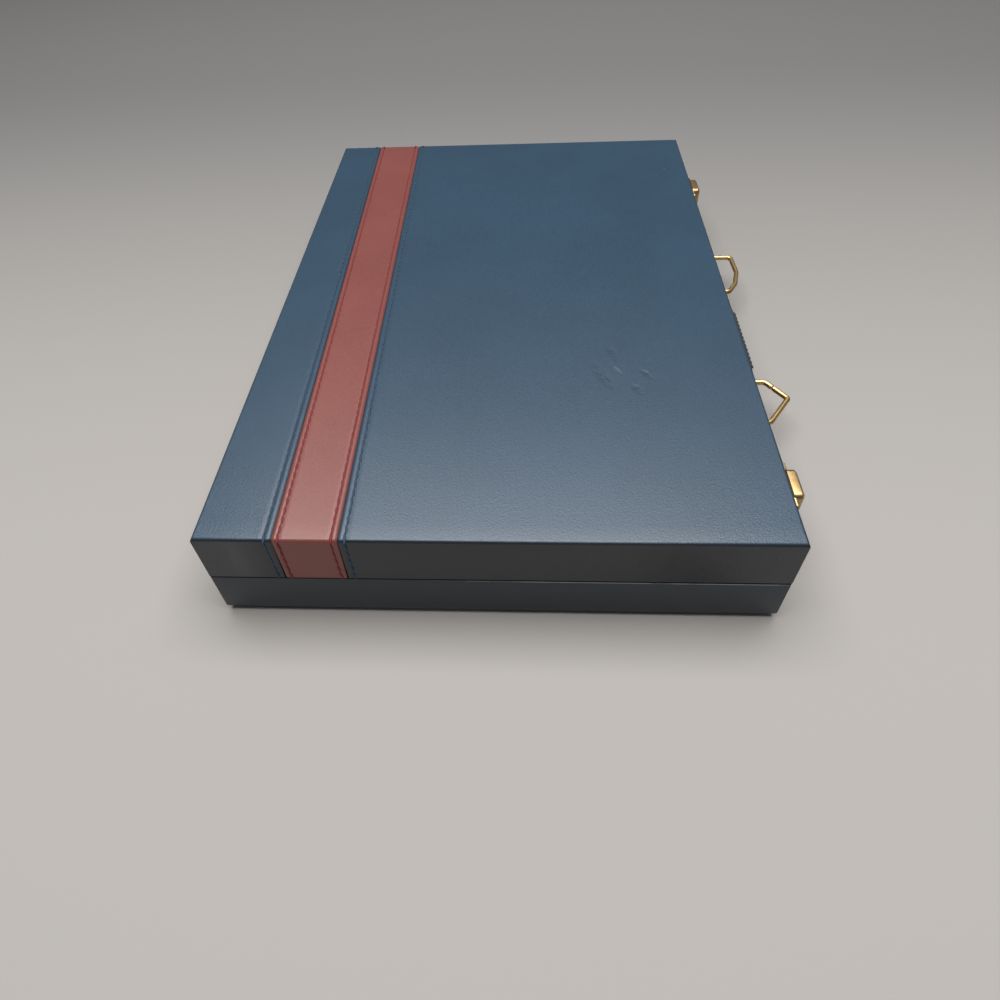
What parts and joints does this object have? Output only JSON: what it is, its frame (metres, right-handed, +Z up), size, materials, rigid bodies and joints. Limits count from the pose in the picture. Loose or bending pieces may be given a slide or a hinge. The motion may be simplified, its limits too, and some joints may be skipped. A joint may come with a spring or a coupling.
{
  "type": "travel backgammon set",
  "caption": "Flat hinged game case in navy leatherette with a maroon sewn band, brass latches and ring handle; opens to a backgammon board with trays, checkers, cups and dice.",
  "frame": {"origin": "centre of the felt pad under the closed case, on the surface it stands on", "axes": "+X towards the latches and the handle, +Y along the length, away from the viewer of the picture, +Z up through the lid"},
  "size_m": [0.2295, 0.3, 0.043],
  "materials": {
    "navy_leatherette": "satin embossed PVC leatherette",
    "maroon_leatherette": "satin embossed PVC leatherette",
    "tan_leatherette": "matt embossed leatherette",
    "cup_leather": "satin",
    "handle_leather": "satin",
    "pine_board": "sawn",
    "plywood": "raw",
    "black_felt": "felt",
    "navy_felt": "felt",
    "ivory_resin": "moulded",
    "maroon_resin": "moulded",
    "brass": "polished, lacquered"
  },
  "bodies": {
    "base": {"base_front_board": "pine_board", "base_back_board": "pine_board", "base_hinge_board": "pine_board", "base_latch_board": "pine_board", "base_panel": "plywood", "base_cover": "navy_leatherette", "base_pad": "black_felt", "base_lining": "navy_leatherette", "base_field": "tan_leatherette", "base_tray_felt": "navy_felt", "base_tray_divider": "navy_leatherette", "base_points_maroon": "maroon_leatherette", "base_points_navy": "navy_leatherette", "hinge_base_leaf": "brass", "hinge_base_nails": "brass", "hinge_pin": "brass", "latch_near_plate": "brass", "latch_far_plate": "brass", "latch_near_pin": "brass", "latch_far_pin": "brass", "latch_plate_rivets": "brass", "handle_near_eye": "brass", "handle_far_eye": "brass", "handle_eye_rivets": "brass", "checkers_maroon": "maroon_resin", "checkers_ivory": "ivory_resin", "dice_cup_near": "cup_leather", "dice_cup_far": "cup_leather", "dice_ivory": "ivory_resin", "dice_maroon": "maroon_resin", "doubling_cube": "ivory_resin"},
    "lid": {"lid_front_board": "pine_board", "lid_back_board": "pine_board", "lid_hinge_board": "pine_board", "lid_latch_board": "pine_board", "lid_panel": "plywood", "lid_lining": "navy_leatherette", "lid_field": "tan_leatherette", "lid_tray_felt": "navy_felt", "lid_tray_divider": "navy_leatherette", "lid_points_maroon": "maroon_leatherette", "lid_points_navy": "navy_leatherette", "lid_cover_left": "navy_leatherette", "lid_cover_right": "navy_leatherette", "lid_band": "maroon_leatherette", "hinge_lid_leaf": "brass", "hinge_lid_nails": "brass", "latch_near_catch": "brass", "latch_far_catch": "brass", "catch_rivets": "brass"},
    "latch_near": {"latch_near_lever": "brass"},
    "latch_far": {"latch_far_lever": "brass"},
    "handle": {"handle_near_ring": "brass", "handle_far_ring": "brass"},
    "grip": {"handle_grip": "handle_leather", "handle_near_loop": "handle_leather", "handle_far_loop": "handle_leather"}
  },
  "joints": [
    {"name": "lid_hinge", "type": "hinge", "parent": "base", "child": "lid", "pos_m": [-0.102, 0, 0.0215], "axis": [0, -1, 0], "range_deg": [0, 180]},
    {"name": "near_latch_flip", "type": "hinge", "parent": "base", "child": "latch_near", "pos_m": [0.1033, -0.1122, 0.009], "axis": [0, 1, 0], "range_deg": [0, 90]},
    {"name": "far_latch_flip", "type": "hinge", "parent": "base", "child": "latch_far", "pos_m": [0.1033, 0.1178, 0.009], "axis": [0, 1, 0], "range_deg": [0, 90]},
    {"name": "handle_swing", "type": "hinge", "parent": "base", "child": "handle", "pos_m": [0.1029, 0, 0.014], "axis": [0, -1, 0], "range_deg": [-33, 65]},
    {"name": "grip_slide", "type": "slide", "parent": "handle", "child": "grip", "axis": [0, 1, 0], "range_m": [0, 0.012]}
  ]
}
